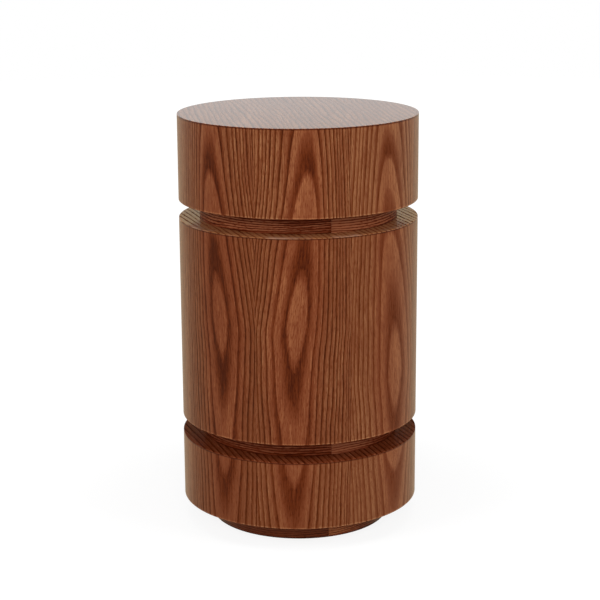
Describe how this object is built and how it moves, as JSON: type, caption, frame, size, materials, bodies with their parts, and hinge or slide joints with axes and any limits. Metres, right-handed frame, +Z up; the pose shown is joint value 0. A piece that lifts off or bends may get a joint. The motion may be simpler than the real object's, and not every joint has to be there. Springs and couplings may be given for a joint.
{
  "type": "drum side table",
  "caption": "Round veneered side table of three stacked drums with recessed grooves between them, on a recessed plinth.",
  "frame": {"origin": "on the floor, at the centre of the table's base", "axes": "+Z is up along the drums' common axis; -Y is the front, where a leaf of the book-matched side veneer faces the viewer"},
  "size_m": [0.356, 0.356, 0.62],
  "materials": {
    "side_veneer": "crown-cut ash veneer, stained walnut brown, satin lacquer",
    "face_veneer": "straight-grained ash veneer, stained walnut brown, satin lacquer",
    "band_veneer": "ash veneer with its grain running round, stained, satin lacquer",
    "plinth_veneer": "ash veneer with its grain running round, stained dark, satin lacquer",
    "fibreboard": "raw medium-density fibreboard",
    "bending_plywood": "raw flexible plywood",
    "softwood": "planed pine",
    "beech": "turned beech dowel",
    "zinc_plated_steel": "bright zinc plate",
    "nylon": "moulded, satin"
  },
  "bodies": {
    "root": {"glides": "nylon", "glide_screws": "zinc_plated_steel", "plinth_boards": "fibreboard", "plinth_band": "plinth_veneer", "base_drum_bottom_veneer": "face_veneer", "base_drum_bottom_board": "fibreboard", "base_drum_posts": "softwood", "base_drum_post_screws": "zinc_plated_steel", "base_drum_top_board": "fibreboard", "base_drum_inner_skin": "bending_plywood", "base_drum_outer_skin": "bending_plywood", "base_drum_top_veneer": "face_veneer", "base_drum_side_veneer": "side_veneer", "middle_drum_bottom_veneer": "face_veneer", "middle_drum_bottom_board": "fibreboard", "middle_drum_posts": "softwood", "middle_drum_post_screws": "zinc_plated_steel", "middle_drum_top_board": "fibreboard", "middle_drum_inner_skin": "bending_plywood", "middle_drum_outer_skin": "bending_plywood", "middle_drum_top_veneer": "face_veneer", "middle_drum_side_veneer": "side_veneer", "top_drum_bottom_veneer": "face_veneer", "top_drum_bottom_board": "fibreboard", "top_drum_posts": "softwood", "top_drum_post_screws": "zinc_plated_steel", "top_drum_top_board": "fibreboard", "top_drum_inner_skin": "bending_plywood", "top_drum_outer_skin": "bending_plywood", "top_drum_top_veneer": "face_veneer", "top_drum_side_veneer": "side_veneer", "middle_drum_rib": "fibreboard", "lower_neck_boards": "fibreboard", "lower_neck_band": "band_veneer", "upper_neck_boards": "fibreboard", "upper_neck_band": "band_veneer", "plinth_dowels": "beech", "lower_neck_dowels": "beech", "upper_neck_dowels": "beech", "tie_rod": "zinc_plated_steel", "tie_rod_tee_nut": "zinc_plated_steel", "tie_rod_washer": "zinc_plated_steel", "tie_rod_nut": "zinc_plated_steel"}
  },
  "joints": []
}
